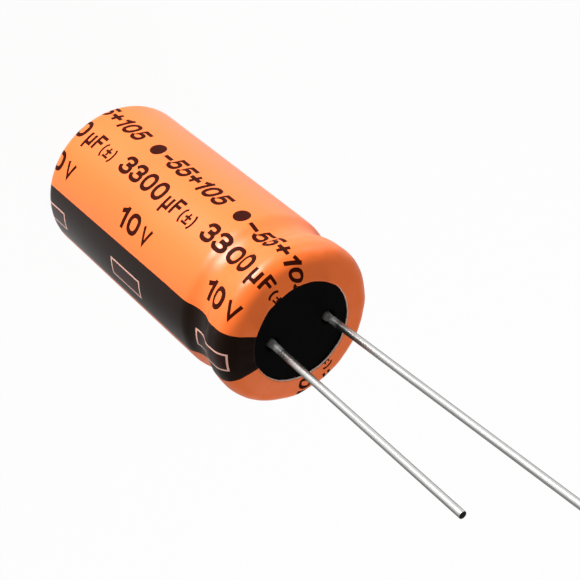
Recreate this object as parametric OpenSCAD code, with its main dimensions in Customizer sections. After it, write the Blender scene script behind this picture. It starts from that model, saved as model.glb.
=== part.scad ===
// Radial-lead aluminium electrolytic capacitor, 13 x 26 mm, leads 5 mm apart.
// It stands on its closed end with the leads up. Millimetres, +Z along the axis,
// the origin in the middle of the foot ring. The negative lead is on the -X side.

/* [Can] */
// Outer diameter of the drawn aluminium can
can_d = 13.0; // [12:0.1:16]
// Height of the can from its closed end to the top of its curled rim
can_h = 26.65; // [22:0.05:36]
// Wall of the can
can_wall = 0.30; // [0.20:0.01:0.38]
// Thickness of the closed end
can_base_t = 0.45; // [0.35:0.05:0.70]
// Outer corner radius of the closed end
can_corner_r = 0.85; // [0.60:0.05:1.20]

/* [Bead and rim] */
// Distance from the rim down to the middle of the rolled bead
bead_drop = 3.85; // [3.60:0.05:4.00]
// Depth of the bead, seen from outside
bead_depth = 0.90; // [0.70:0.05:1.05]
// Half of the height that the bead takes up
bead_half_h = 1.95; // [1.80:0.05:2.10]
// Radius of the turns into and out of the bead
bead_turn_r = 1.10; // [0.90:0.05:1.30]
// Outer radius of the rim's shoulder
rim_r = 1.30; // [1.10:0.05:1.35]
// Outer radius of the lip that turns down into the rubber
lip_r = 0.55; // [0.48:0.01:0.65]

/* [Vent] */
// Length of each arm of the scored cross in the closed end, from tip to tip
vent_len = 7.0; // [4:0.1:8.5]
// Width of the score at the surface
vent_w = 0.5; // [0.3:0.05:0.8]
// Depth of the score
vent_depth = 0.25; // [0.10:0.01:0.30]

/* [Sleeve] */
// Wall of the shrunk plastic sleeve
sleeve_t = 0.15; // [0.08:0.01:0.25]
// How far the sleeve stays off the floor of the bead, where it spans it
sleeve_span = 0.45; // [0.30:0.05:0.60]
// Radius of the sleeve's turns into and out of the bead
sleeve_turn_r = 1.90; // [1.55:0.05:2.30]
// Radius of the hole that the sleeve leaves in the middle of the closed end
sleeve_foot_r = 4.6; // [3.5:0.1:5.0]
// Radius of the hole that the sleeve leaves over the rubber
sleeve_mouth_r = 4.2; // [3.6:0.05:4.4]
// Slope of the sleeve where it runs from the rim onto the rubber, in degrees
sleeve_rise = 11; // [4:1:14]

/* [Bung] */
// Height of the rubber bung
bung_h = 6.9; // [6.7:0.1:7.8]
// Chamfer round the bung's inner end
bung_chamfer = 0.4; // [0.2:0.05:0.8]
// Radius of the dimple round each lead
dimple_r = 0.65; // [0.5:0.05:0.9]
// Depth of the dimple
dimple_depth = 0.40; // [0.2:0.05:0.6]

/* [Leads] */
// Distance between the leads where they leave the bung
lead_pitch = 5.0; // [4.5:0.05:5.4]
// Diameter of the lead wire
lead_d = 0.60; // [0.50:0.01:0.80]
// Length of the negative lead outside the bung
lead_len_negative = 21.8; // [8:0.1:35]
// Length of the positive lead outside the bung
lead_len_positive = 27.0; // [10:0.1:40]
// Outward lean of the negative lead, in degrees
lean_negative = 0.8; // [0.2:0.1:4]
// Outward lean of the positive lead, in degrees
lean_positive = 2.4; // [0.2:0.1:4]

/* [Tabs] */
// Diameter of the tab's round stem, which fills the bore in the rubber
stem_d = 1.8; // [1.4:0.05:2.1]
// How far the stem stands out below the bung
stem_drop = 0.4; // [0.2:0.1:0.8]
// Height of the cone where the wire is welded on
weld_h = 0.45; // [0.2:0.05:0.8]
// Depth of the weld under the face of the rubber
weld_depth = 0.95; // [0.8:0.05:1.6]
// Radius of the weld nugget at the wire's foot
nugget_r = 0.44; // [0.42:0.01:0.50]
// Height of the weld nugget
nugget_h = 0.25; // [0.20:0.01:0.40]
// Radius of the wire's swollen foot, where it rises from the nugget
foot_r = 0.38; // [0.36:0.01:0.40]
// How far the swollen foot stands out of the rubber before it is down to the wire
foot_rise = 0.20; // [0.15:0.01:0.40]
// Width of the flattened paddle
paddle_w = 2.3; // [1.9:0.1:3.0]
// Thickness of the paddle
paddle_t = 0.25; // [0.15:0.01:0.30]
// How far the paddle reaches down beside its foil
paddle_depth = 14.0; // [6:0.5:16]
// Gap between the top of the paper and the neck, where the tab starts to thicken
neck_gap = 0.1; // [0.05:0.05:0.3]

/* [Winding] */
// Thickness of the etched anode foil
anode_t = 0.12; // [0.08:0.01:0.15]
// Thickness of the cathode foil
cathode_t = 0.06; // [0.04:0.01:0.10]
// Thickness of each paper separator
paper_t = 0.09; // [0.05:0.01:0.12]
// Gap between neighbouring layers
layer_gap = 0.02; // [0.01:0.005:0.04]
// Smallest radius that the roll starts at, left by the winding pin
pin_r = 0.9; // [0.6:0.05:1.3]
// Gap between the finished roll and the can's wall
roll_gap = 0.25; // [0.15:0.05:0.8]
// Gap between the closed end and the roll
roll_lift = 0.35; // [0.1:0.05:0.8]
// How much taller the paper is than the foils at each end
paper_margin = 1.0; // [0.5:0.1:2]
// Height between the top of the paper and the bung, where the tabs are shaped
tab_room_h = 1.4; // [1.0:0.1:2.5]
// Thickness of the tape that closes the roll
tape_t = 0.06; // [0.04:0.01:0.10]
// Width of the tape
tape_w = 9.0; // [4:0.5:16]

/* [Fits] */
// Clearance between pieces that are pressed, shrunk or rolled together
fit = 0.02; // [0.01:0.005:0.03]

/* [Hidden] */
$fn = 96;

can_r = can_d / 2;
can_z = sleeve_t + fit;
can_top = can_z + can_h;
can_inner_r = can_r - can_wall;
bead_z = can_top - bead_drop;
rim_c = [can_r - rim_r, can_top - rim_r];
lip_c = [rim_c[0], can_top - lip_r];

// The sleeve leaves the rim's shoulder on a tangent and runs in to its mouth.
sleeve_off = fit + sleeve_t;
sleeve_leave = 90 - sleeve_rise;
function on_shoulder(offset) = rim_c + (rim_r + offset) * [cos(sleeve_leave), sin(sleeve_leave)];
function on_slope(offset, r) = [r, on_shoulder(offset)[1] + (on_shoulder(offset)[0] - r) * tan(sleeve_rise)];

// The rubber's face lies just under the sleeve's mouth.
face_z = on_slope(fit, sleeve_mouth_r)[1] - fit;
bung_z = face_z - bung_h;
bung_r = can_inner_r - fit;
boss_r = rim_c[0] - lip_r - fit;
seat_z = can_top - lip_r - fit;

// The stem ends in the bung's bore, and the wire leans out from the weld on its end.
stem_r = stem_d / 2;
lead_r = lead_d / 2;
stem_z = bung_z - stem_drop;
wire_z = face_z - weld_depth;
function lean_of(side) = side < 0 ? lean_negative : lean_positive;
function stem_x(side) = lead_pitch / 2 - weld_depth * tan(lean_of(side));
// Length of wire between the weld and the face of the rubber.
function wire_inside(side) = weld_depth / cos(lean_of(side));

// Layers of the roll, from the inside out: anode foil, paper, cathode foil, paper.
layer_t = [anode_t, paper_t, cathode_t, paper_t];
layer_at = [0,
            anode_t + layer_gap,
            anode_t + paper_t + 2 * layer_gap,
            anode_t + paper_t + cathode_t + 3 * layer_gap];
turn = anode_t + cathode_t + 2 * paper_t + 4 * layer_gap;
tab_room = paddle_t + layer_gap;
// The wire starts this far above the base of its nugget, so that its tilted end stays inside.
foot_cut = nugget_h / 2;
// Overlap inside one piece where two of its forms join.
seam = 0.05;
// How far a cutting form runs on past the face that it cuts.
past = 1;

// The roll is made of half turns. They meet on the Y axis, and the paddles lie in the
// middle of one on each side, on the X axis, under the leads.
anode_tab_at = 2 * floor((lead_pitch / 2 - paddle_t / 2 - turn / 4 - pin_r) / turn);
cathode_tab_at = anode_tab_at - 1;
core_r = lead_pitch / 2 - paddle_t / 2 - turn / 4 - anode_tab_at * turn / 2;
roll_r = can_inner_r - roll_gap - tape_t - layer_gap;
half_turns = 2 * floor((roll_r - core_r - 2 * tab_room) / turn);
roll_z = can_z + can_base_t + roll_lift;
paper_h = bung_z - tab_room_h - roll_z;
foil_z = roll_z + paper_margin;
foil_h = paper_h - 2 * paper_margin;
paper_top = roll_z + paper_h;

// A band between two radii about c, from angle a0 to a1.
module arc_band(c, r_in, r_out, a0, a1) {
    translate(c)
        intersection() {
            difference() {
                circle(r = r_out);
                circle(r = r_in);
            }
            wedge(r_out, a0, a1);
        }
}

// A filled sector about c.
module pie(c, r, a0, a1) {
    translate(c)
        intersection() {
            circle(r = r);
            wedge(r, a0, a1);
        }
}

module wedge(r, a0, a1) {
    steps = 4;
    polygon([[0, 0], for (i = [0 : steps]) let (a = a0 + (a1 - a0) * i / steps) 2 * r * [cos(a), sin(a)]]);
}

// Radius of a bead's floor, from its depth, half height and turn radius.
function bead_floor_r(depth, turn_r) =
    (bead_half_h * bead_half_h + depth * depth) / (2 * depth) - turn_r;
function bead_angle(depth, turn_r) = asin(bead_half_h / (bead_floor_r(depth, turn_r) + turn_r));

// Section of a wall that bends into a bead and out again. Its outer face lies at wall_r.
module beaded_wall(wall_r, t, depth, turn_r) {
    floor_r = bead_floor_r(depth, turn_r);
    bend = bead_angle(depth, turn_r);
    arc_band([wall_r - depth + floor_r, bead_z], floor_r, floor_r + t, 180 - bend, 180 + bend);
    arc_band([wall_r - turn_r, bead_z - bead_half_h], turn_r - t, turn_r, 0, bend);
    arc_band([wall_r - turn_r, bead_z + bead_half_h], turn_r - t, turn_r, -bend, 0);
}

// Filled section of a cup with a rounded corner, from the axis out.
module cup_section(r, z0, z1, corner) {
    translate([0, z0]) square([r - corner, z1 - z0]);
    translate([0, z0 + corner]) square([r, z1 - z0 - corner]);
    pie([r - corner, z0 + corner], corner, 270, 360);
}

module can_section() {
    bead_low = bead_z - bead_half_h;
    bead_high = bead_z + bead_half_h;
    difference() {
        cup_section(can_r, can_z, bead_low, can_corner_r);
        cup_section(can_inner_r, can_z + can_base_t, bead_low + past, can_corner_r - can_wall);
    }
    beaded_wall(can_r, can_wall, bead_depth, bead_turn_r);
    translate([can_inner_r, bead_high]) square([can_wall, rim_c[1] - bead_high]);
    arc_band(rim_c, rim_r - can_wall, rim_r, 0, 90);
    arc_band(lip_c, lip_r - can_wall, lip_r, 90, 180);
}

// V-shaped score across the closed end, which opens under excess pressure.
module vent_score() {
    rotate([90, 0, 90])
        translate([0, 0, -vent_len / 2])
            linear_extrude(vent_len)
                polygon([[-vent_w / 2, 0], [vent_w / 2, 0], [0, vent_depth]]);
}

module can() {
    color("silver")
        difference() {
            rotate_extrude() can_section();
            translate([0, 0, can_z]) {
                vent_score();
                rotate([0, 0, 90]) vent_score();
            }
        }
}

module sleeve_section() {
    outer_r = can_r + sleeve_off;
    corner_c = [can_r - can_corner_r, can_z + can_corner_r];
    bead_low = bead_z - bead_half_h;
    bead_high = bead_z + bead_half_h;
    translate([sleeve_foot_r, 0]) square([corner_c[0] - sleeve_foot_r, sleeve_t]);
    arc_band(corner_c, can_corner_r + fit, can_corner_r + sleeve_off, 270, 360);
    translate([can_r + fit, corner_c[1]]) square([sleeve_t, bead_low - corner_c[1]]);
    beaded_wall(outer_r, sleeve_t, bead_depth - sleeve_span, sleeve_turn_r);
    translate([can_r + fit, bead_high]) square([sleeve_t, rim_c[1] - bead_high]);
    arc_band(rim_c, rim_r + fit, rim_r + sleeve_off, 0, sleeve_leave);
    polygon([on_shoulder(fit), on_shoulder(sleeve_off),
             on_slope(sleeve_off, sleeve_mouth_r), on_slope(fit, sleeve_mouth_r)]);
}

module sleeve() {
    color("darkorange") rotate_extrude() sleeve_section();
}

// Section of the rubber where the bead grips it.
module gripped_section() {
    turn_r = bead_turn_r - can_wall - fit;
    floor_r = bead_floor_r(bead_depth, bead_turn_r);
    bend = bead_angle(bead_depth, bead_turn_r);
    turn_x = can_r - bead_turn_r;
    low = [turn_x, bead_z - bead_half_h];
    high = [turn_x, bead_z + bead_half_h];
    low_end = low + turn_r * [cos(bend), sin(bend)];
    high_end = high + turn_r * [cos(bend), -sin(bend)];
    pie(low, turn_r, 0, bend);
    pie(high, turn_r, -bend, 0);
    difference() {
        polygon([[0, low[1]], low, low_end, high_end, high, [0, high[1]]]);
        translate([can_r - bead_depth + floor_r, bead_z]) circle(r = floor_r + can_wall + fit);
    }
}

module bung_section() {
    bead_low = bead_z - bead_half_h;
    bead_high = bead_z + bead_half_h;
    slope_start = on_slope(0, boss_r);
    polygon([[0, bung_z], [bung_r - bung_chamfer, bung_z], [bung_r, bung_z + bung_chamfer],
             [bung_r, bead_low], [0, bead_low]]);
    gripped_section();
    translate([0, bead_high]) square([bung_r, rim_c[1] - bead_high]);
    intersection() {
        pie(rim_c, rim_r - can_wall - fit, 0, 90);
        translate([0, bead_high]) square([can_r, seat_z - bead_high]);
    }
    translate([0, rim_c[1]]) square([rim_c[0], seat_z - rim_c[1]]);
    polygon([[0, seat_z], [boss_r, seat_z], slope_start, [sleeve_mouth_r, face_z], [0, face_z]]);
}

// Moves to the weld of one lead. side is -1 for the negative lead and 1 for the positive one.
module at_weld(side) {
    mirror([side < 0 ? 1 : 0, 0, 0]) translate([stem_x(side), 0, wire_z]) children();
}

// Section of the bore below the wire: the stem, its weld cone and the nugget.
module bore_section() {
    below = bung_z - wire_z - past;
    polygon([[0, below], [stem_r + fit, below], [stem_r + fit, -weld_h], [nugget_r + fit, 0],
             [nugget_r + fit, nugget_h + fit], [0, nugget_h + fit]]);
}

// Section of the leaning wire's bore, with the dimple where the wire comes out of the rubber.
module dimple_section(side) {
    face = wire_inside(side);
    dimple_z = face - dimple_depth;
    slope = (dimple_r - foot_r - fit) / dimple_depth;
    polygon([[0, foot_cut], [foot_r + fit, foot_cut], [foot_r + fit, dimple_z],
             [dimple_r + past * slope, face + past], [0, face + past]]);
}

// The bore for one lead. The rubber follows the leaning wire.
module lead_bore(side) {
    at_weld(side) {
        rotate_extrude() bore_section();
        rotate([0, lean_of(side), 0]) rotate_extrude() dimple_section(side);
    }
}

module bung() {
    color("#1a1a1a")
        difference() {
            rotate_extrude() bung_section();
            lead_bore(-1);
            lead_bore(1);
        }
}

// A tinned wire that swells toward the nugget at its foot. len is its length outside the bung.
module lead(side, len) {
    face = wire_inside(side);
    color("gainsboro")
        at_weld(side) {
            cylinder(r = nugget_r, h = nugget_h);
            rotate([0, lean_of(side), 0])
                rotate_extrude()
                    polygon([[0, foot_cut], [foot_r, foot_cut], [lead_r, face + foot_rise],
                             [lead_r, face + len], [0, face + len]]);
        }
}

module lead_negative() {
    lead(-1, lead_len_negative);
}

module lead_positive() {
    lead(1, lead_len_positive);
}

// Distance from the roll's middle to the inside of layer i, at the j-th crossing of the Y axis.
function layer_r(i, j) = core_r + j * turn / 2 + layer_at[i]
    + (j >= anode_tab_at ? tab_room : 0)
    + (j >= cathode_tab_at + 2 || (i >= 2 && j >= cathode_tab_at) ? tab_room : 0);

// Half of one turn, between crossings at distances a and b. Even halves lie on the +X side.
module half_turn(a, b, t, h) {
    side = h % 2 == 0 ? 1 : -1;
    r = (a + b) / 2;
    reach = 2 * can_r;
    rotate(-90)
        intersection() {
            translate([side * (a - b) / 2, 0])
                difference() {
                    circle(r = r + t);
                    circle(r = r);
                }
            translate([-reach / 2, side > 0 ? 0 : -reach]) square([reach, reach]);
        }
}

module strip(i, first, last, z, h) {
    translate([0, 0, z])
        linear_extrude(h)
            for (k = [first : last]) half_turn(layer_r(i, k), layer_r(i, k + 1), layer_t[i], k);
}

module anode_foil() {
    color("#8f9296") strip(0, 2, half_turns - 3, foil_z, foil_h);
}

module separator_inner() {
    color("#d9c9a3") strip(1, 0, half_turns - 1, roll_z, paper_h);
}

module cathode_foil() {
    color("#b9bcc0") strip(2, 2, half_turns - 2, foil_z, foil_h);
}

module separator_outer() {
    color("#cdbb92") strip(3, 0, half_turns - 1, roll_z, paper_h);
}

module closing_tape() {
    last = half_turns - 1;
    lift = layer_t[3] + layer_gap;
    color("#e8d9a0")
        translate([0, 0, roll_z + (paper_h - tape_w) / 2])
            linear_extrude(tape_w)
                for (k = [last - 1, last]) half_turn(layer_r(3, k) + lift, layer_r(3, k + 1) + lift, tape_t, k);
}

// An aluminium tab: welded stem above, flattened paddle below. Its paddle follows half turn k
// between crossings at distances a and b, on the side of its lead.
module tab(side, a, b, k) {
    paddle_r = (a + b) / 2;
    sag = paddle_w * paddle_w / (8 * paddle_r);
    x = stem_x(side);
    // Half the width of the neck's square top, which fits inside the round stem.
    top = stem_r * cos(45) - seam;
    neck_z = paper_top + neck_gap;
    translate([0, 0, paper_top - paddle_depth])
        linear_extrude(paddle_depth + neck_gap + seam)
            intersection() {
                half_turn(a, b, paddle_t, k);
                square([can_d, paddle_w], center = true);
            }
    at_weld(side)
        rotate_extrude()
            polygon([[0, stem_z - seam - wire_z], [stem_r, stem_z - seam - wire_z], [stem_r, -weld_h],
                     [nugget_r, 0], [0, 0]]);
    intersection() {
        rotate([90, 0, 0])
            linear_extrude(2 * paddle_w, center = true)
                polygon([[side * (paddle_r - sag), neck_z], [side * (paddle_r + paddle_t), neck_z],
                         [side * (x + top), stem_z], [side * (x - top), stem_z]]);
        rotate([90, 0, 90])
            linear_extrude(2 * can_d, center = true)
                polygon([[-paddle_w / 2, neck_z], [paddle_w / 2, neck_z], [top, stem_z], [-top, stem_z]]);
    }
}

module tab_positive() {
    k = anode_tab_at;
    color("silver") tab(1, layer_r(0, k) - tab_room, layer_r(0, k + 1) - tab_room, k);
}

module tab_negative() {
    k = cathode_tab_at;
    color("silver") tab(-1, layer_r(2, k) - tab_room, layer_r(2, k + 1) - tab_room, k);
}

sleeve();
can();
bung();
lead_negative();
lead_positive();
tab_negative();
tab_positive();
anode_foil();
cathode_foil();
separator_inner();
separator_outer();
closing_tape();
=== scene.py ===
import math

import bmesh
import bpy
from mathutils import Matrix, Vector
from mathutils.bvhtree import BVHTree
from mathutils.geometry import delaunay_2d_cdt


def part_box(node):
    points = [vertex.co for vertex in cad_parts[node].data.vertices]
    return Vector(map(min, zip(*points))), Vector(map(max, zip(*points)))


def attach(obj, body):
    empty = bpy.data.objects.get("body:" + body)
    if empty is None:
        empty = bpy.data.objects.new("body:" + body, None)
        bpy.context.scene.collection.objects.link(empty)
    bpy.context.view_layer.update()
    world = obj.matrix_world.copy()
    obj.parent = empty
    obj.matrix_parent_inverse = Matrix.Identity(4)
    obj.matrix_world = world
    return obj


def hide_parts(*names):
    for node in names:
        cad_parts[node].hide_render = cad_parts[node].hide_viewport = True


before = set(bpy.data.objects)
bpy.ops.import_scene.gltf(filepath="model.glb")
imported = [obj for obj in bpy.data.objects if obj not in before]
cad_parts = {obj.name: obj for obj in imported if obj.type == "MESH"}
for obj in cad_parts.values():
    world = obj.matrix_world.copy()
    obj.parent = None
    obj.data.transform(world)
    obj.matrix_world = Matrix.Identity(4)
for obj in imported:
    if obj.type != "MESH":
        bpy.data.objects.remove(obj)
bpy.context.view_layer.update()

# Radial-lead aluminium capacitor, standing on its closed end with its leads up.
# Lengths in this script are millimetres until a mesh is made, angles are degrees.
MM = 0.001
scene = bpy.context.scene


def add_object(name, data):
    made = bpy.data.objects.new(name, data)
    scene.collection.objects.link(made)
    return made


# Camera

camera_at = (-49.476, 74.696, 104.74)
camera_aim = (1.482, 1.025, 23.653)
camera_roll = 129.357
camera_lens = 100.22
camera_near, camera_far = 5.0, 10000.0
sensor_width = 36.0


def camera_frame():
    """The camera's right, up and backward directions."""
    back = (Vector(camera_at) - Vector(camera_aim)).normalized()
    level = Vector((0, 0, 1)).cross(back).normalized()
    turned = Matrix.Rotation(math.radians(camera_roll), 3, back)
    right = turned @ level
    return right, back.cross(right), back


def add_camera():
    data = bpy.data.cameras.new("studio_camera")
    data.sensor_width = sensor_width
    data.lens = camera_lens
    data.clip_start = camera_near * MM
    data.clip_end = camera_far * MM
    camera = add_object("studio_camera", data)
    axes = Matrix(camera_frame()).transposed().to_4x4()
    camera.matrix_world = Matrix.Translation(Vector(camera_at) * MM) @ axes
    scene.camera = camera


add_camera()


# Sizes of the shrunk sleeve, along the outside of its wall

sleeve_r = (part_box("sleeve")[1] / MM).x
sleeve_t = 0.15
foot_hole_r = 4.6
corner_r = 1.02
bead_z = 22.97
bead_half_h = 1.95
bead_depth = 0.45
bead_turn_r = 1.9
rim_r = 1.47
rim_z = 25.52
mouth_r = 4.2
# Degrees by which the folded-in rim climbs towards the mouth
fold_rise = 11

# Steps between points: degrees on an arc, millimetres on a straight run
arc_step = 6.0
foot_step = 0.3
wall_step = 1.0
lip_step = 0.15
fold_step = 0.2
# Points closer than this are one point.
same_point = 0.001


def arc(centre, radius, start, end):
    """Points on part of a circle, from one angle to the other."""
    steps = max(2, round(abs(end - start) / arc_step))
    angles = [math.radians(start + (end - start) * i / steps) for i in range(steps + 1)]
    return [(centre[0] + radius * math.cos(a), centre[1] + radius * math.sin(a)) for a in angles]


def line(start, end, step):
    """Points on a straight run, about a step apart."""
    steps = max(1, round(math.dist(start, end) / step))
    share = [i / steps for i in range(steps + 1)]
    return [(start[0] + (end[0] - start[0]) * s, start[1] + (end[1] - start[1]) * s) for s in share]


def sleeve_profile():
    """(radius, height) along the outside of the sleeve, from the hole in its foot to its mouth."""
    floor_r = (bead_half_h ** 2 + bead_depth ** 2) / (2 * bead_depth) - bead_turn_r
    bend = math.degrees(math.asin(bead_half_h / (floor_r + bead_turn_r)))
    turn_x = sleeve_r - bead_turn_r
    bead_low, bead_high = bead_z - bead_half_h, bead_z + bead_half_h
    shoulder = arc((sleeve_r - rim_r, rim_z), rim_r, 0, 90 - fold_rise)
    fold_r, fold_z = shoulder[-1]
    mouth = (mouth_r, fold_z + (fold_r - mouth_r) * math.tan(math.radians(fold_rise)))
    corner_c = (sleeve_r - corner_r, corner_r)
    runs = [line((foot_hole_r, 0), (corner_c[0], 0), foot_step),
            arc(corner_c, corner_r, -90, 0),
            line((sleeve_r, corner_r), (sleeve_r, bead_low), wall_step),
            arc((turn_x, bead_low), bead_turn_r, 0, bend),
            arc((sleeve_r - bead_depth + floor_r, bead_z), floor_r, 180 + bend, 180 - bend),
            arc((turn_x, bead_high), bead_turn_r, -bend, 0),
            line((sleeve_r, bead_high), (sleeve_r, rim_z), lip_step),
            shoulder,
            line(shoulder[-1], mouth, fold_step)]
    points = []
    for run in runs:
        points += [p for p in run if not points or math.dist(p, points[-1]) > same_point]
    return points


def lengths_along(points):
    """Distance from the first point to each one."""
    total = [0.0]
    for a, b in zip(points, points[1:]):
        total.append(total[-1] + math.dist(a, b))
    return total


profile = sleeve_profile()
rows = lengths_along(profile)
sheet_len = rows[-1]
# Height on the straight wall plus this is the distance along the sheet.
sheet_lift = rows[[p[1] for p in profile].index(corner_r)] - corner_r


# The flat sheet: u is the way round the can from the seam, v is the way along the profile

seam_angle = 20.0
column_step = 2.0
girth = 2 * math.pi * sleeve_r


def across(angle):
    """Place of an angle round the can on the flat sheet."""
    return math.radians((angle - seam_angle) % 360) * sleeve_r


# The print's pattern repeats up the wall.
print_pitch = 11.88
repeats = (-1, 0, 1)

# Dark stripe between two angles, with an outlined box in each repeat
stripe_from, stripe_to = 158.4, 198.8
window_from, window_to = 173.6, 188.2
window_start, window_len = 10.68, 4.36
window_line = 0.16

# The film is twisted a little on the lower part of the wall, so both edges of the stripe drift there.
stripe_drift = 2.5
drift_end = 18.5
knee = drift_end + sheet_lift
drift = across(stripe_from + stripe_drift) - across(stripe_from)

# Angles that the feet of the rows of figures stand on, and the turn to the rows on the far side
temperature_feet = 96.6
capacitance_feet = 120.4
voltage_feet = 149.0
far_side = 180

# Exponent of the signs' ovals: 1 gives a plain oval, less a squarer one.
squareness = 0.85


def bow(x, y, wide, high, start, end, steps=16):
    """Points along part of a slightly squared oval, from one angle to the other."""
    made = []
    for i in range(steps + 1):
        angle = math.radians(start + (end - start) * i / steps)
        c, s = math.cos(angle), math.sin(angle)
        made.append((x + wide * math.copysign(abs(c) ** squareness, c),
                     y + high * math.copysign(abs(s) ** squareness, s)))
    return made


# Width of each sign and the middle lines of its strokes, where a figure is one unit high
signs = {
    "0": (0.58, [bow(0.29, 0.5, 0.29, 0.5, 90, 450, 36)]),
    "1": (0.3, [[(0.26, 1), (0.26, 0)], [(0.02, 0.8), (0.22, 0.93)]]),
    "3": (0.56, [bow(0.26, 0.755, 0.27, 0.245, 165, -90), bow(0.26, 0.265, 0.3, 0.265, 90, -165)]),
    "5": (0.56, [[(0.54, 1), (0.08, 1), (0.04, 0.5)] + bow(0.26, 0.31, 0.3, 0.31, 125, -155)]),
    "+": (0.56, [[(0, 0.48), (0.56, 0.48)], [(0.28, 0.2), (0.28, 0.76)]]),
    "-": (0.4, [[(0, 0.48), (0.4, 0.48)]]),
    "µ": (0.5, [[(0.04, -0.36), (0.04, 0.68)], bow(0.25, 0.24, 0.21, 0.24, 180, 360),
                [(0.46, 0), (0.46, 0.68)]]),
    "F": (0.48, [[(0.02, 0), (0.02, 1), (0.48, 1)], [(0.02, 0.54), (0.42, 0.54)]]),
    "V": (0.6, [[(0, 1), (0.3, 0), (0.6, 1)]]),
    "(": (0.2, [bow(0.4, 0.45, 0.4, 0.66, 125, 235)]),
    ")": (0.2, [bow(-0.2, 0.45, 0.4, 0.66, 55, -55)]),
    "±": (0.5, [[(0, 0.58), (0.5, 0.58)], [(0.25, 0.3), (0.25, 0.86)], [(0, 0.06), (0.5, 0.06)]]),
}
sign_gap = 0.31
# A stroke is a ring when its ends are this close.
ring_gap = 1e-4
# A sharp corner sticks out by half the stroke's thickness over this at most.
corner_limit = 0.45


def ribbon(flat, middle, thick):
    """A flat stroke along a middle line, with square ends, or a closed ring."""
    spots = [Vector(p) for p in middle]
    ring = (spots[0] - spots[-1]).length < ring_gap
    if ring:
        spots.pop()
    else:
        spots[0] += (spots[0] - spots[1]).normalized() * thick / 2
        spots[-1] += (spots[-1] - spots[-2]).normalized() * thick / 2
    pairs = []
    for i, spot in enumerate(spots):
        before = spots[i - 1] if ring or i > 0 else spot
        after = spots[(i + 1) % len(spots)] if ring or i < len(spots) - 1 else spot
        ways = [(b - a).normalized() for a, b in ((before, spot), (spot, after)) if (b - a).length > 0]
        sides = [Vector((-way.y, way.x)) for way in ways]
        side = sum(sides, Vector((0, 0))).normalized()
        side *= thick / 2 / max(corner_limit, side.dot(sides[0]))
        pairs.append([flat.verts.new((*(spot + side), 0)), flat.verts.new((*(spot - side), 0))])
    for i in range(len(pairs) if ring else len(pairs) - 1):
        a, b = pairs[i], pairs[(i + 1) % len(pairs)]
        flat.faces.new((a[0], a[1], b[1], b[0]))


def printed_row(row, feet, start, height, length, thick, slant=0.0):
    """One row of signs that reads up the can. Its feet stand on the line at that angle."""
    wide = sum(signs[sign][0] + sign_gap for sign in row) - sign_gap
    flat = bmesh.new()
    at = 0.0
    for sign in row:
        sign_wide, strokes = signs[sign]
        for stroke in strokes:
            middle = []
            for x, y in stroke:
                up = thick / 2 + y * (height - thick)
                along = thick / 2 + (at + x) / wide * (length - thick) + slant * up
                middle.append((across(feet) - up, start + sheet_lift + along))
            ribbon(flat, middle, thick)
        at += sign_wide + sign_gap
    return flat


def printed_dot(feet, middle, size, lift=0.55):
    """A plain round dot between two repeats of a row. Its middle is lift times its size above the feet."""
    flat = bmesh.new()
    bmesh.ops.create_circle(flat, cap_ends=True, segments=32, radius=size / 2)
    bmesh.ops.translate(flat, verts=flat.verts,
                        vec=(across(feet) - size * lift, middle + sheet_lift, 0))
    return flat


def temperature(feet, up):
    """The temperature range, with a dot before it."""
    return [printed_row("-55+105", feet, start=9.25 + up, height=1.55, length=8.65, thick=0.34, slant=0.3),
            printed_dot(feet, middle=8.35 + up, size=1.4)]


def capacitance(feet, up):
    """The capacitance, with its unit and a bracketed sign."""
    return [printed_row("3300", feet, start=7.3 + up, height=1.74, length=6.15, thick=0.37),
            printed_row("µF", feet, start=13.83 + up, height=1.5, length=2.08, thick=0.29),
            printed_row("(±)", feet, start=16.2 + up, height=1.2, length=1.75, thick=0.21)]


def voltage(feet, up):
    """The voltage, with its unit."""
    return [printed_row("10", feet, start=10.7 + up, height=1.78, length=2.75, thick=0.39),
            printed_row("V", feet, start=13.92 + up, height=1.45, length=1.2, thick=0.29)]


def figures():
    """Every row of figures on the sheet. Two of the three rows are also on the far side."""
    made = []
    for k in repeats:
        up = k * print_pitch
        made += temperature(temperature_feet, up)
        made += capacitance(capacitance_feet, up)
        made += voltage(voltage_feet, up)
        made += temperature(temperature_feet + far_side, up)
        made += capacitance(capacitance_feet + far_side, up)
    return made


def windows():
    """Outer and inner edge of each outlined box on the stripe, as left, low, right and high."""
    made = []
    for k in repeats:
        low = window_start + sheet_lift + k * print_pitch
        box = (across(window_from), low, across(window_to), low + window_len)
        inner = (box[0] + window_line, box[1] + window_line, box[2] - window_line, box[3] - window_line)
        made.append((box, inner))
    return made


def grid():
    """Points and edges of the bare sheet."""
    columns = round(360 / column_step)
    us = [girth * i / columns for i in range(columns + 1)]
    points = [(u, v) for v in rows for u in us]
    edges = []
    for j in range(len(rows)):
        edges += [(j * len(us) + i, j * len(us) + i + 1) for i in range(columns)]
    for i in range(len(us)):
        edges += [(j * len(us) + i, (j + 1) * len(us) + i) for j in range(len(rows) - 1)]
    return points, edges


def cut_stripe(points, edges):
    """Adds both edges of the stripe to the sheet's points and edges."""
    for edge in (stripe_from, stripe_to):
        points += [(across(edge) + drift, 0), (across(edge), knee), (across(edge), sheet_len)]
        last = len(points) - 1
        edges += [(last - 1, last), (last - 2, last - 1)]


def cut_box(points, edges, box):
    """Adds the four sides of a box."""
    left, low, right, high = box
    first = len(points)
    points += [(left, low), (right, low), (right, high), (left, high)]
    edges += [(first + i, first + (i + 1) % 4) for i in range(4)]


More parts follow.
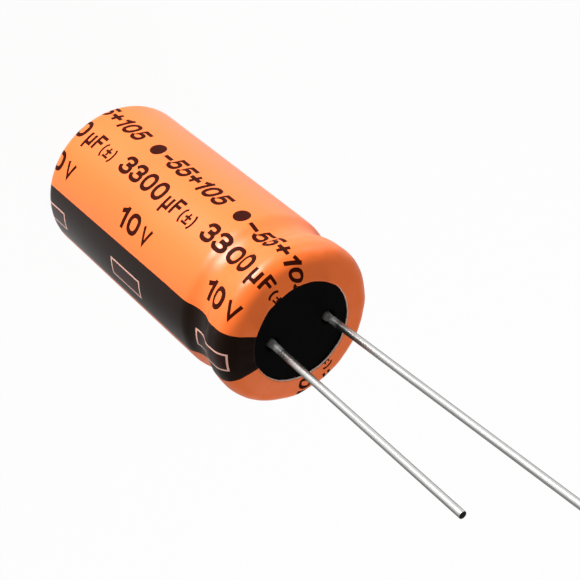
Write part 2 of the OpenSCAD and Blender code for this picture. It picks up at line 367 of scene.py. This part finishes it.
def cut_figures(points, edges):
    """Adds the outline of every figure, and returns a tree that finds the ink under a point."""
    strokes = bmesh.new()
    for flat in figures():
        first = len(points)
        flat.verts.index_update()
        points.extend((v.co.x, v.co.y) for v in flat.verts)
        edges.extend((first + e.verts[0].index, first + e.verts[1].index)
                     for e in flat.edges if len(e.link_faces) == 1)
        held = bpy.data.meshes.new("strokes")
        flat.to_mesh(held)
        strokes.from_mesh(held)
        bpy.data.meshes.remove(held)
        flat.free()
    ink = BVHTree.FromBMesh(strokes)
    strokes.free()
    return ink


print_kinds = ("Bare", "Ink", "Stripe", "Outline", "Window")
BARE, INK, STRIPE, OUTLINE, WINDOW = range(len(print_kinds))
# How the sheet is cut up: into triangles out to its rim, with points this close taken as one
all_triangles = 0
cut_precision = 1e-5


def inside(box, u, v):
    return box[0] < u < box[2] and box[1] < v < box[3]


def kind_at(u, v, boxes, ink):
    """What is printed on a point of the sheet."""
    untwisted = u - max(0.0, 1 - v / knee) * drift
    if across(stripe_from) < untwisted < across(stripe_to):
        for box, inner in boxes:
            if inside(box, u, v):
                return WINDOW if inside(inner, u, v) else OUTLINE
        return STRIPE
    hit = ink.ray_cast(Vector((u, v, 1)), Vector((0, 0, -1)))
    return INK if hit[0] is not None else BARE


def flat_sheet():
    """The sleeve laid flat, cut along every edge of its print, with the print's kind on each face."""
    points, edges = grid()
    boxes = windows()
    cut_stripe(points, edges)
    for box, inner in boxes:
        cut_box(points, edges, box)
        cut_box(points, edges, inner)
    ink = cut_figures(points, edges)
    cut = delaunay_2d_cdt([Vector(p) for p in points], edges, [], all_triangles, cut_precision, False)
    spots, faces = cut[0], cut[2]
    kept, kinds = [], []
    for face in faces:
        u = sum(spots[i].x for i in face) / len(face)
        v = sum(spots[i].y for i in face) / len(face)
        if 0 < u < girth and 0 < v < sheet_len:
            kept.append(face)
            kinds.append(kind_at(u, v, boxes, ink))
    mesh = bpy.data.meshes.new("sleeve_film")
    mesh.from_pydata([(p.x * MM, p.y * MM, 0) for p in spots], [], kept)
    mesh.attributes.new("print_kind", "INT", "FACE").data.foreach_set("value", kinds)
    return add_object("sleeve_film", mesh)


# Shader node helpers

white = (1, 1, 1, 1)


def srgb(red, green, blue):
    """A colour as it shows on screen, from 0 to 255, as linear light."""
    def linear(value):
        value = value / 255
        return value / 12.92 if value <= 0.04045 else ((value + 0.055) / 1.055) ** 2.4
    return (linear(red), linear(green), linear(blue), 1.0)


def put(tree, socket, value):
    """Links an input to another node's output, or sets its plain value."""
    if isinstance(value, bpy.types.NodeSocket):
        tree.links.new(value, socket)
    else:
        socket.default_value = value


def feed(tree, target, **values):
    """Puts values on a node's inputs by their names, with underscores for spaces."""
    for name, value in values.items():
        put(tree, target.inputs[name.replace("_", " ")], value)


def node(tree, kind, **values):
    """Adds a node. Names of its own properties set them, all others are put on its inputs."""
    made = tree.nodes.new(kind)
    for name, value in values.items():
        if hasattr(made, name):
            setattr(made, name, value)
        else:
            feed(tree, made, **{name: value})
    return made


def math_node(tree, operation, *values):
    made = node(tree, "ShaderNodeMath", operation=operation)
    for socket, value in zip(made.inputs, values):
        put(tree, socket, value)
    return made.outputs[0]


def scaled(tree, value, factor, base):
    """value times factor plus base."""
    return math_node(tree, "MULTIPLY_ADD", value, factor, base)


def on_object(tree):
    """Where a point is on its own object, in metres."""
    return node(tree, "ShaderNodeTexCoord").outputs["Object"]


def noise(tree, where, scale, detail, rough):
    """An uneven pattern between 0 and 1."""
    made = node(tree, "ShaderNodeTexNoise", Vector=where, Scale=scale, Detail=detail, Roughness=rough)
    return made.outputs["Fac"]


def bumped(tree, height, strength, depth):
    """The surface's direction, disturbed by a height pattern of that depth in millimetres."""
    made = node(tree, "ShaderNodeBump", Height=height, Strength=strength, Distance=depth * MM)
    return made.outputs["Normal"]


def toned(tree, factor, dark, light):
    """Mixes two colours, or two nodes' colour outputs, by a factor."""
    mix = node(tree, "ShaderNodeMix", data_type="RGBA")
    put(tree, next(s for s in mix.inputs if s.name == "Factor" and s.enabled), factor)
    for socket in mix.inputs:
        if socket.type == "RGBA":
            put(tree, socket, dark if socket.name == "A" else light)
    return next(s for s in mix.outputs if s.type == "RGBA")


def show_mixed(tree, share, first, second):
    """Shows a mix of two shaders."""
    mix = tree.nodes.new("ShaderNodeMixShader")
    for socket, value in zip(mix.inputs, (share, first.outputs[0], second.outputs[0])):
        put(tree, socket, value)
    output = next(n for n in tree.nodes if n.type.startswith("OUTPUT"))
    feed(tree, output, Surface=mix.outputs[0])


def material(name):
    """A new material with its Principled shader."""
    made = bpy.data.materials.new(name)
    made.use_nodes = True
    return made, made.node_tree, made.node_tree.nodes["Principled BSDF"]


# Looks of the sleeve

film_depth = 0.04
film_grain_values = {"Cloud Size": 120.0, "Wave Size": 500.0, "Gloss": 0.3, "Gloss Swing": 0.1}


def film_grain_group():
    """Cloudy tone, uneven gloss and fine waviness of shrunk plastic film."""
    tree = bpy.data.node_groups.new("film_grain", "ShaderNodeTree")
    for name, value in film_grain_values.items():
        socket = tree.interface.new_socket(name, in_out="INPUT", socket_type="NodeSocketFloat")
        socket.default_value = value
    for name in ("Cloud", "Roughness", "Height"):
        tree.interface.new_socket(name, in_out="OUTPUT", socket_type="NodeSocketFloat")
    entry = tree.nodes.new("NodeGroupInput").outputs
    where = on_object(tree)
    cloud = noise(tree, where, scale=entry["Cloud Size"], detail=3.0, rough=0.5)
    wave = noise(tree, where, scale=entry["Wave Size"], detail=4.0, rough=0.6)
    gloss = scaled(tree, cloud, entry["Gloss Swing"], entry["Gloss"])
    feed(tree, tree.nodes.new("NodeGroupOutput"), Cloud=cloud, Roughness=gloss, Height=wave)
    return tree


film_grain = film_grain_group()


def film_material(name, dark, light, gloss, bump=0.25, shine=0.5):
    """A printed or bare patch of the sleeve, between two close tones."""
    made, tree, shader = material(name)
    grain = node(tree, "ShaderNodeGroup", node_tree=film_grain)
    feed(tree, grain, Gloss=gloss)
    feed(tree, shader, Base_Color=toned(tree, grain.outputs["Cloud"], dark, light),
         Roughness=grain.outputs["Roughness"],
         Normal=bumped(tree, grain.outputs["Height"], bump, film_depth),
         Specular_IOR_Level=shine)
    return made


film_looks = {
    "Bare": film_material("sleeve_orange", srgb(232, 98, 24), srgb(240, 112, 34), gloss=0.33, shine=0.62),
    "Ink": film_material("print_maroon", srgb(40, 8, 2), srgb(56, 15, 6), gloss=0.45, shine=0.03),
    "Stripe": film_material("stripe_black", srgb(20, 9, 4), srgb(28, 15, 9), gloss=0.27, shine=0.1),
    "Outline": film_material("outline_pink", srgb(216, 160, 142), srgb(230, 178, 160), gloss=0.34),
    "Window": film_material("window_brown", srgb(30, 8, 4), srgb(42, 14, 8), gloss=0.32, shine=0.2),
}
# Painted highlight: a near-white colour for the film's cut edge at the mouth.
film_edge_highlight = film_material("film_cut_edge_highlight", srgb(250, 214, 196), srgb(255, 228, 214), gloss=0.6, bump=0.2)


# Wrapping the sheet: ripples over the bead and rim, long waves on the wall, an uneven edge at the mouth

ripple_height = 0.22
ripple_start = 22.0
ripple_fade = 2.5
wall_wave = 0.03
mouth_wander = 0.35
mouth_reach = 1.6
mouth_fade = 1.5
noise_seed = 4.0
weld_distance = 0.002
wrap_numbers = {"Can Radius": sleeve_r * MM, "Seam Angle": math.radians(seam_angle),
                "Ripple Height": ripple_height * MM, "Ripple Start": ripple_start * MM,
                "Wall Wave": wall_wave * MM, "Mouth Start": sheet_len * MM - mouth_reach * MM,
                "Mouth Wander": mouth_wander * MM, "Seed": noise_seed}


def wrap_tree():
    """Wraps a flat sheet round the can: u goes round, v follows the profile curve."""
    tree = bpy.data.node_groups.new("wrap_sleeve", "GeometryNodeTree")
    face = tree.interface
    face.new_socket("Geometry", in_out="INPUT", socket_type="NodeSocketGeometry")
    face.new_socket("Profile", in_out="INPUT", socket_type="NodeSocketObject")
    for name in wrap_numbers:
        face.new_socket(name, in_out="INPUT", socket_type="NodeSocketFloat")
    for name in print_kinds:
        face.new_socket(name, in_out="INPUT", socket_type="NodeSocketMaterial")
    face.new_socket("Geometry", in_out="OUTPUT", socket_type="NodeSocketGeometry")
    entry = tree.nodes.new("NodeGroupInput").outputs

    def times(first, second):
        return math_node(tree, "MULTIPLY", first, second)

    def plus(first, second):
        return math_node(tree, "ADD", first, second)

    def minus(first, second):
        return math_node(tree, "SUBTRACT", first, second)

    def parts_of(vector):
        return node(tree, "ShaderNodeSeparateXYZ", Vector=vector).outputs

    spot = parts_of(tree.nodes.new("GeometryNodeInputPosition").outputs[0])
    u, v = spot["X"], spot["Y"]
    angle = plus(math_node(tree, "DIVIDE", u, entry["Can Radius"]), entry["Seam Angle"])
    cosine = math_node(tree, "COSINE", angle)
    sine = math_node(tree, "SINE", angle)

    def ring_noise(turns, along, detail, offset):
        """Noise round zero that closes on itself round the can."""
        where = node(tree, "ShaderNodeCombineXYZ", X=times(cosine, turns), Y=times(sine, turns),
                     Z=times(v, along))
        made = node(tree, "ShaderNodeTexNoise", noise_dimensions="4D", Vector=where.outputs[0],
                    W=plus(entry["Seed"], offset), Scale=1.0, Detail=detail)
        return minus(made.outputs["Fac"], 0.5)

    def fade_in(start, width):
        """Grows from 0 to 1 along the sheet."""
        made = node(tree, "ShaderNodeMapRange", interpolation_type="SMOOTHSTEP", Value=v,
                    From_Min=start, From_Max=plus(start, width * MM))
        return made.outputs["Result"]

    wander = times(ring_noise(turns=2.2, along=0.0, detail=2.0, offset=7.0), entry["Mouth Wander"])
    wander = times(wander, fade_in(entry["Mouth Start"], mouth_fade))
    curve = node(tree, "GeometryNodeObjectInfo", Object=entry["Profile"])
    sample = node(tree, "GeometryNodeSampleCurve", mode="LENGTH", Curves=curve.outputs["Geometry"],
                  Length=plus(v, wander))
    on_curve = parts_of(sample.outputs["Position"])
    heading = parts_of(sample.outputs["Tangent"])
    ripple = times(ring_noise(turns=2.6, along=420.0, detail=2.0, offset=0.0), entry["Ripple Height"])
    ripple = times(ripple, fade_in(entry["Ripple Start"], ripple_fade))
    wave = times(ring_noise(turns=1.3, along=120.0, detail=1.0, offset=3.0), entry["Wall Wave"])
    lift = plus(ripple, wave)
    radius = scaled(tree, lift, heading["Z"], on_curve["X"])
    height = minus(on_curve["Z"], times(lift, heading["X"]))
    wrapped = node(tree, "ShaderNodeCombineXYZ", X=times(radius, cosine), Y=times(radius, sine), Z=height)
    moved = node(tree, "GeometryNodeSetPosition", Geometry=entry["Geometry"], Position=wrapped.outputs[0])
    merged = node(tree, "GeometryNodeMergeByDistance", Geometry=moved.outputs[0],
                  Distance=weld_distance * MM)
    smooth = node(tree, "GeometryNodeSetShadeSmooth", Geometry=merged.outputs[0])
    made = node(tree, "GeometryNodeRealizeInstances", Geometry=smooth.outputs[0]).outputs[0]

    stored = node(tree, "GeometryNodeInputNamedAttribute", data_type="INT", Name="print_kind")
    kind = next(s for s in stored.outputs if s.enabled and s.name == "Attribute")
    for number, name in enumerate(print_kinds):
        test = node(tree, "FunctionNodeCompare", data_type="INT", operation="EQUAL")
        for socket, value in zip([s for s in test.inputs if s.enabled], (kind, number)):
            put(tree, socket, value)
        painted = node(tree, "GeometryNodeSetMaterial", Geometry=made, Selection=test.outputs[0],
                       Material=entry[name])
        made = painted.outputs[0]
    feed(tree, tree.nodes.new("NodeGroupOutput"), Geometry=made)
    return tree


def set_inputs(modifier, values):
    """Sets a modifier's inputs by their names in its tree."""
    for item in modifier.node_group.interface.items_tree:
        if item.item_type == "SOCKET" and item.in_out == "INPUT" and item.name in values:
            modifier[item.identifier] = values[item.name]


def profile_curve():
    """The sleeve's profile as a curve, for the wrapping to follow."""
    data = bpy.data.curves.new("sleeve_profile", "CURVE")
    data.dimensions = "3D"
    spline = data.splines.new("POLY")
    spline.points.add(len(profile) - 1)
    for point, (radius, height) in zip(spline.points, profile):
        point.co = (radius * MM, 0, height * MM, 1)
    return add_object("sleeve_profile", data)


def settle(obj):
    """Turns an object with its modifiers into a plain mesh."""
    bpy.context.view_layer.update()
    graph = bpy.context.evaluated_depsgraph_get()
    mesh = bpy.data.meshes.new_from_object(obj.evaluated_get(graph))
    obj.modifiers.clear()
    obj.data = mesh


def paint_edge_highlight(mesh, inward=0.7):
    """A painted highlight: where the film was cut at the mouth, faces that look inward get a pale colour.
    """
    mesh.materials.append(film_edge_highlight)
    for face in mesh.polygons:
        outward = Vector((face.center.x, face.center.y, 0)).normalized()
        if face.center.z > rim_z * MM and face.normal.dot(outward) < -inward:
            face.material_index = len(mesh.materials) - 1


def add_sleeve():
    """The printed film, wrapped, thickened inwards and settled into one mesh."""
    film = flat_sheet()
    curve = profile_curve()
    wrap = film.modifiers.new("wrap", "NODES")
    wrap.node_group = wrap_tree()
    set_inputs(wrap, {"Profile": curve, **wrap_numbers, **film_looks})
    wall = film.modifiers.new("wall", "SOLIDIFY")
    wall.thickness = sleeve_t * MM
    wall.offset = -1
    settle(film)
    paint_edge_highlight(film.data)
    bpy.data.objects.remove(curve)
    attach(film, "root")
    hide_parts("sleeve")


add_sleeve()


# Materials of the carried-over pieces

def streaked(name, dark, light, rough, streak, along, metallic=1.0):
    """Drawn or rolled metal, or paper, with a fine pattern that can be stretched along one direction."""
    made, tree, shader = material(name)
    stretch = node(tree, "ShaderNodeMapping", Vector=on_object(tree), Scale=along)
    pattern = noise(tree, stretch.outputs[0], scale=streak, detail=4.0, rough=0.6)
    feed(tree, shader, Base_Color=toned(tree, pattern, dark, light),
         Roughness=scaled(tree, pattern, factor=0.12, base=rough),
         Normal=bumped(tree, pattern, strength=0.2, depth=0.02), Metallic=metallic)
    return made


def rubber_material():
    """Matt black rubber with a fine grain."""
    made, tree, shader = material("black_rubber")
    pattern = noise(tree, on_object(tree), scale=900.0, detail=5.0, rough=0.6)
    feed(tree, shader, Base_Color=srgb(4, 4, 4), Specular_IOR_Level=0.08,
         Roughness=scaled(tree, pattern, factor=0.2, base=0.5),
         Normal=bumped(tree, pattern, strength=0.3, depth=0.03))
    return made


can_metal = streaked("drawn_aluminium", srgb(176, 178, 182), srgb(206, 208, 212),
                     rough=0.3, streak=900.0, along=(1, 1, 0.1))
foil_metal = streaked("etched_foil", srgb(120, 122, 126), srgb(150, 152, 156),
                      rough=0.5, streak=900.0, along=(1, 1, 0.2))
paper = streaked("kraft_paper", srgb(196, 180, 140), srgb(216, 200, 160),
                 rough=0.7, streak=600.0, along=(1, 1, 1), metallic=0.0)
finishes = {"can": can_metal, "bung": rubber_material(),
            "tab_negative": can_metal, "tab_positive": can_metal,
            "anode_foil": foil_metal, "cathode_foil": foil_metal,
            "separator_inner": paper, "separator_outer": paper, "closing_tape": paper}
for piece, finish in finishes.items():
    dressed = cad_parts[piece].data
    dressed.materials.clear()
    dressed.materials.append(finish)


# Leads: round tinned wire with a dull swollen foot and a sheared end

lead_spacing = 5.0
lead_r = 0.3
# Height of the rubber's face where the wires come out, and the weld's depth under it
rubber_z = 27.0391
weld_depth = 0.95
nugget_r = 0.44
nugget_h = 0.25
nugget_round = 0.06
foot_r = 0.38
# Inside the rubber the foot is thinner by this, at this share of its way out.
foot_taper, taper_share = 0.015, 0.75
# It ends this far above the rubber, and is still this much wider than the wire at this share of that.
foot_rise, foot_blend, blend_share = 0.2, 0.02, 0.4
# Heights over the rubber between which the dull foot turns bright
dull_from, dull_to = 0.5, 1.35
tin_tint = (0.25, 0.25, 0.25, 1)
# Rounding of the cut end, and a point on it: in from the wire's side and down from its tip
tip_round = 0.03
tip_corner = (0.012, 0.008)
lead_sides = 32
lead_step = 0.6


def lead_material():
    """Tinned wire, dull and pitted at its welded foot, bright further up."""
    made, tree, shader = material("tinned_wire")
    where = on_object(tree)
    stretch = node(tree, "ShaderNodeMapping", Vector=where, Scale=(1, 1, 0.06))
    streak = noise(tree, stretch.outputs[0], scale=3000.0, detail=4.0, rough=0.6)
    pits = noise(tree, where, scale=5000.0, detail=3.0, rough=0.7)
    height = node(tree, "ShaderNodeSeparateXYZ", Vector=where).outputs["Z"]
    dull = node(tree, "ShaderNodeMapRange", Value=height, From_Min=(rubber_z + dull_from) * MM,
                From_Max=(rubber_z + dull_to) * MM, To_Min=1.0, To_Max=0.0).outputs[0]
    clean = toned(tree, streak, srgb(164, 164, 163), srgb(200, 200, 198))
    worn = toned(tree, pits, srgb(112, 110, 108), srgb(216, 214, 210))
    rough = scaled(tree, dull, factor=0.25, base=0.2)
    pitted = scaled(tree, dull, factor=0.5, base=0.12)
    feed(tree, shader, Base_Color=toned(tree, dull, clean, worn),
         Roughness=scaled(tree, streak, factor=0.12, base=rough),
         Normal=bumped(tree, pits, strength=pitted, depth=0.04),
         Metallic=scaled(tree, dull, factor=-0.3, base=1.0), Specular_Tint=tin_tint)
    return made


tinned_wire = lead_material()
sheared_end = streaked("sheared_end", srgb(50, 48, 48), srgb(84, 82, 80),
                       rough=0.5, streak=4000.0, along=(1, 1, 1))


def lead_outline(inside_len, length):
    """(radius, distance along the wire) from the nugget to the sheared end."""
    tip = inside_len + length
    straight = line((lead_r, inside_len + foot_rise), (lead_r, tip - tip_round), lead_step)
    return [(0, 0), (nugget_r - nugget_round, 0), (nugget_r, nugget_round),
            (nugget_r, nugget_h - nugget_round), (nugget_r - nugget_round / 2, nugget_h),
            (foot_r, nugget_h + nugget_round), (foot_r - foot_taper, inside_len * taper_share),
            (lead_r + foot_blend, inside_len + foot_rise * blend_share),
            *straight,
            (lead_r - tip_corner[0], tip - tip_corner[1]), (lead_r - tip_round, tip), (0, tip)]


def add_lead(name, side, lean, length):
    """A wire turned about its own leaning axis, with no seam and rounded edges at its end."""
    inside_len = weld_depth / math.cos(math.radians(lean))
    foot_x = side * (lead_spacing / 2 - weld_depth * math.tan(math.radians(lean)))
    foot = Vector((foot_x, 0, rubber_z - weld_depth))
    turn = Matrix.Rotation(math.radians(side * lean), 3, "Y")
    angles = [2 * math.pi * i / lead_sides for i in range(lead_sides)]
    flat = bmesh.new()
    rings = []
    for radius, along in lead_outline(inside_len, length):
        spots = [Vector((radius * math.cos(a), radius * math.sin(a), along)) for a in angles]
        if radius == 0:
            spots = spots[:1]
        rings.append([flat.verts.new((foot + turn @ spot) * MM) for spot in spots])
    for low, high in zip(rings, rings[1:]):
        for i in range(lead_sides):
            j = (i + 1) % lead_sides
            corners = [low[i % len(low)], low[j % len(low)], high[j % len(high)], high[i % len(high)]]
            flat.faces.new(list(dict.fromkeys(corners)))
    flat.faces.ensure_lookup_table()
    for face in flat.faces:
        face.smooth = True
    for face in flat.faces[-2 * lead_sides:]:
        face.material_index = 1
    mesh = bpy.data.meshes.new(name + "_wire")
    flat.to_mesh(mesh)
    flat.free()
    mesh.materials.append(tinned_wire)
    mesh.materials.append(sheared_end)
    obj = add_object(name + "_wire", mesh)
    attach(obj, "root")
    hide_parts(name)


add_lead("lead_negative", -1, lean=0.8, length=21.8)
add_lead("lead_positive", 1, lean=2.4, length=27.0)


# Studio

floor_half = 600.0
floor_drop = 0.01
floor_tone = (0.8, 0.8, 0.8, 1)
# Shares of the floor's own white glow, as the camera sees it and as the part mirrors it
floor_seen, floor_mirrored = 0.96, 0.9
# The mirrored glow swings by this much round 1, from one side of the part to the other.
glow_swing = 0.5
glow_reach = 12
# Strength of the room's light, what it loses overhead, and the share that mirrored light loses
room_level, room_fade, room_loss = 0.6, 0.26, 0.5
# Point that the lamps look at
lamp_aim = (0, 0, 16)


def add_floor():
    """A pale floor that is white to the camera."""
    size = floor_half * MM
    low = -floor_drop * MM
    corners = [(-size, -size, low), (size, -size, low), (size, size, low), (-size, size, low)]
    mesh = bpy.data.meshes.new("studio_floor")
    mesh.from_pydata(corners, [], [(0, 1, 2, 3)])
    floor = add_object("studio_floor", mesh)
    made, tree, shader = material("pale_floor")
    feed(tree, shader, Base_Color=floor_tone, Roughness=0.8, Specular_IOR_Level=0.1)
    path = node(tree, "ShaderNodeLightPath").outputs
    seen = math_node(tree, "MAXIMUM", path["Is Camera Ray"], path["Is Transmission Ray"])
    share = math_node(tree, "MAXIMUM", math_node(tree, "MULTIPLY", seen, floor_seen),
                      math_node(tree, "MULTIPLY", path["Is Glossy Ray"], floor_mirrored))
    side = node(tree, "ShaderNodeSeparateXYZ", Vector=on_object(tree)).outputs["Y"]
    swing = node(tree, "ShaderNodeMapRange", Value=side, From_Min=-glow_reach * MM,
                 From_Max=glow_reach * MM, To_Min=-glow_swing, To_Max=glow_swing).outputs[0]
    glow = node(tree, "ShaderNodeEmission", Color=white,
                Strength=scaled(tree, path["Is Glossy Ray"], factor=swing, base=1.0))
    show_mixed(tree, share, shader, glow)
    mesh.materials.append(made)
    # The key light comes from under the floor's level, so the floor casts no shadow.
    floor.visible_shadow = False


def add_lamp(name, toward, distance, size, power, mirrored=True):
    """A square soft light. toward is (right, up, back) in the camera's own directions."""
    right, up, back = camera_frame()
    way = (right * toward[0] + up * toward[1] + back * toward[2]).normalized()
    data = bpy.data.lights.new(name, "AREA")
    data.energy = power
    data.size = size * MM
    lamp = add_object(name, data)
    lamp.visible_glossy = mirrored
    turn = way.to_track_quat("Z", "Y").to_matrix().to_4x4()
    lamp.matrix_world = Matrix.Translation((Vector(lamp_aim) + way * distance) * MM) @ turn


def add_world():
    """White where the camera sees it, and a plain pale room, darker overhead, for the light."""
    world = bpy.data.worlds.new("studio")
    world.use_nodes = True
    tree = world.node_tree
    room = tree.nodes["Background"]
    direction = node(tree, "ShaderNodeTexCoord").outputs["Generated"]
    height = node(tree, "ShaderNodeSeparateXYZ", Vector=direction).outputs["Z"]
    overhead = math_node(tree, "MAXIMUM", height, 0.0)
    level = scaled(tree, overhead, factor=-room_fade, base=room_level)
    path = node(tree, "ShaderNodeLightPath").outputs
    mirrored = scaled(tree, path["Is Glossy Ray"], factor=-room_loss, base=1.0)
    feed(tree, room, Strength=math_node(tree, "MULTIPLY", level, mirrored), Color=white)
    backdrop = node(tree, "ShaderNodeBackground", Strength=1.0, Color=white)
    show_mixed(tree, path["Is Camera Ray"], room, backdrop)
    scene.world = world


add_floor()
add_lamp("key", (-0.5, 0.78, 0.62), distance=330, size=130, power=2.0)
add_lamp("sheen", (0.75, 1.0, 0.1), distance=260, size=120, power=0.12)
add_lamp("fill", (0.56, -0.84, -0.17), distance=280, size=120, power=0.36, mirrored=False)
add_world()

scene.view_settings.view_transform = "Standard"
